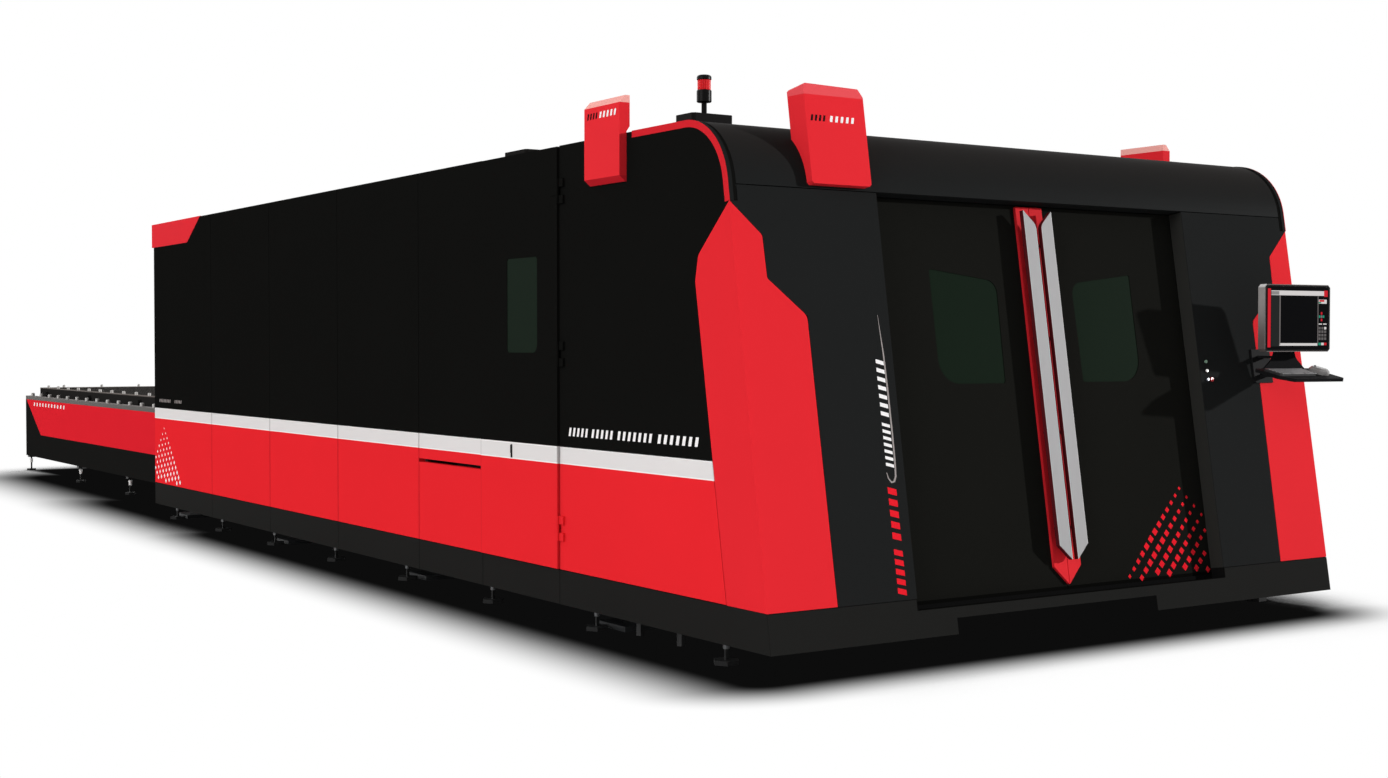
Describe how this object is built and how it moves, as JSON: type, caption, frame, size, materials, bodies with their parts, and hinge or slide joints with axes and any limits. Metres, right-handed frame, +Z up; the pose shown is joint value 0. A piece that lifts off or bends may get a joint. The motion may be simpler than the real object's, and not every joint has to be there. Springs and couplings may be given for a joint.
{
  "type": "fiber laser cutting machine",
  "caption": "Enclosed flat-bed fiber laser cutter with sliding front doors, operator console, roof stack light and an exchange table with toothed-slat pallets at the rear.",
  "frame": {"origin": "centre of the whole machine's footprint, at floor level", "axes": "+Y from the operator doors to the exchange table, +X to the operator's right as they face the doors, +Z up"},
  "size_m": [3.632, 14.6238, 2.631],
  "materials": {
    "red_paint": "gloss",
    "black_paint": "satin",
    "rail_grey_paint": "satin",
    "bed_paint": "satin",
    "frame_paint": "satin",
    "cabinet_paint": "satin",
    "pallet_paint": "satin",
    "gantry_paint": "satin",
    "bare_steel": "brushed",
    "slat_steel": "matt",
    "duct_steel": "satin",
    "bin_steel": "satin",
    "bright_steel": "polished",
    "foot_steel": "satin",
    "handle_grey": "satin",
    "head_paint": "satin",
    "laser_window": "tinted",
    "monitor_shell": "satin",
    "monitor_glass": "gloss",
    "console_black": "satin",
    "key_plastic": "matt",
    "mouse_plastic": "gloss",
    "lamp_red": "gloss",
    "button_green": "gloss",
    "button_grey": "gloss",
    "button_blue": "gloss",
    "button_red": "gloss"
  },
  "bodies": {
    "machine": {"bed_frame": "bed_paint", "bed_foot_plates": "bed_paint", "pallet_rails": "bare_steel", "gantry_rails": "bare_steel", "fume_duct": "duct_steel", "electrical_cabinet": "cabinet_paint", "laser_source": "cabinet_paint", "housing_frame": "frame_paint", "levelling_feet": "foot_steel", "upper_side_panels": "black_paint", "lower_side_panels": "red_paint", "skirt_panels": "black_paint", "front_panels": "black_paint", "front_cowl": "black_paint", "corner_covers": "red_paint", "red_trims": "red_paint", "roof_panels": "black_paint", "rear_wall": "black_paint", "roof_banners": "red_paint", "stack_light_base": "black_paint", "stack_light_lamp": "lamp_red", "door_tracks": "bare_steel", "side_door_hinges": "foot_steel", "table_frame": "black_paint", "table_edge_rails": "rail_grey_paint", "table_side_panels": "red_paint", "exchange_drive": "bed_paint", "console_bracket": "console_black"},
    "left_door": {"left_door_leaf": "black_paint", "left_door_window": "laser_window", "left_handle_backing": "red_paint", "left_door_handle": "handle_grey"},
    "right_door": {"right_door_leaf": "black_paint", "right_door_window": "laser_window", "right_handle_backing": "red_paint", "right_door_handle": "handle_grey"},
    "side_door": {"side_door_leaf": "black_paint", "side_door_window": "laser_window", "side_door_pull": "bright_steel"},
    "scrap_drawer": {"drawer_front": "red_paint", "scrap_bin": "bin_steel"},
    "gantry": {"gantry_beam": "gantry_paint", "gantry_trucks": "gantry_paint"},
    "carriage": {"cross_carriage": "head_paint"},
    "head": {"head_slide": "head_paint", "cutting_head": "bare_steel"},
    "upper_pallet": {"upper_pallet_frame": "pallet_paint", "upper_pallet_slats": "slat_steel"},
    "lower_pallet": {"lower_pallet_frame": "pallet_paint", "lower_pallet_slats": "slat_steel"},
    "gate": {"rear_gate": "frame_paint"},
    "console": {"console_arm": "console_black", "keyboard": "key_plastic", "mouse": "mouse_plastic"},
    "monitor": {"monitor_housing": "monitor_shell", "monitor_screen": "monitor_glass"},
    "start": {"start_button": "button_green"},
    "pause": {"pause_button": "button_grey"},
    "reset": {"reset_button": "button_blue"},
    "stop": {"emergency_stop": "button_red"}
  },
  "joints": [
    {"name": "left_door_slide", "type": "slide", "parent": "machine", "child": "left_door", "axis": [-1, 0, 0], "range_m": [0, 0.64]},
    {"name": "right_door_slide", "type": "slide", "parent": "machine", "child": "right_door", "axis": [1, 0, 0], "range_m": [0, 0.64]},
    {"name": "side_door_hinge", "type": "hinge", "parent": "machine", "child": "side_door", "pos_m": [-1.794, -5.36808, 1.3], "axis": [0, 0, 1], "range_deg": [0, 100]},
    {"name": "scrap_drawer_slide", "type": "slide", "parent": "machine", "child": "scrap_drawer", "axis": [-1, 0, 0], "range_m": [0, 1]},
    {"name": "gantry_travel", "type": "slide", "parent": "machine", "child": "gantry", "axis": [0, 1, 0], "range_m": [0, 5.8]},
    {"name": "carriage_travel", "type": "slide", "parent": "gantry", "child": "carriage", "axis": [1, 0, 0], "range_m": [0, 2.4]},
    {"name": "head_lift", "type": "slide", "parent": "carriage", "child": "head", "axis": [0, 0, 1], "range_m": [-0.3, 0]},
    {"name": "upper_pallet_travel", "type": "slide", "parent": "machine", "child": "upper_pallet", "axis": [0, -1, 0], "range_m": [0, 6.5]},
    {"name": "lower_pallet_travel", "type": "slide", "parent": "machine", "child": "lower_pallet", "axis": [0, 1, 0], "range_m": [0, 6.5]},
    {"name": "gate_lift", "type": "slide", "parent": "machine", "child": "gate", "axis": [0, 0, -1], "range_m": [0, 0.585]},
    {"name": "console_swivel", "type": "hinge", "parent": "machine", "child": "console", "pos_m": [1.45, -7.00908, 1.25], "axis": [0, 0, 1], "range_deg": [-25, 35]},
    {"name": "monitor_tilt", "type": "hinge", "parent": "console", "child": "monitor", "pos_m": [1.44221, -7.06454, 1.43], "axis": [0.9903, -0.1392, 0], "range_deg": [-20, 5]},
    {"name": "start_press", "type": "slide", "parent": "machine", "child": "start", "axis": [0, 0.9873, -0.159], "range_m": [0, 0.003], "stiffness_N_per_m": 400},
    {"name": "pause_press", "type": "slide", "parent": "machine", "child": "pause", "axis": [0, 0.9873, -0.159], "range_m": [0, 0.003], "stiffness_N_per_m": 400},
    {"name": "reset_press", "type": "slide", "parent": "machine", "child": "reset", "axis": [0, 0.9873, -0.159], "range_m": [0, 0.003], "stiffness_N_per_m": 400},
    {"name": "emergency_stop_press", "type": "slide", "parent": "machine", "child": "stop", "axis": [0, 0.9873, -0.159], "range_m": [0, 0.003]}
  ],
  "couplings": [
    {"joint": "lower_pallet_travel", "follows": "upper_pallet_travel", "ratio": 1}
  ]
}
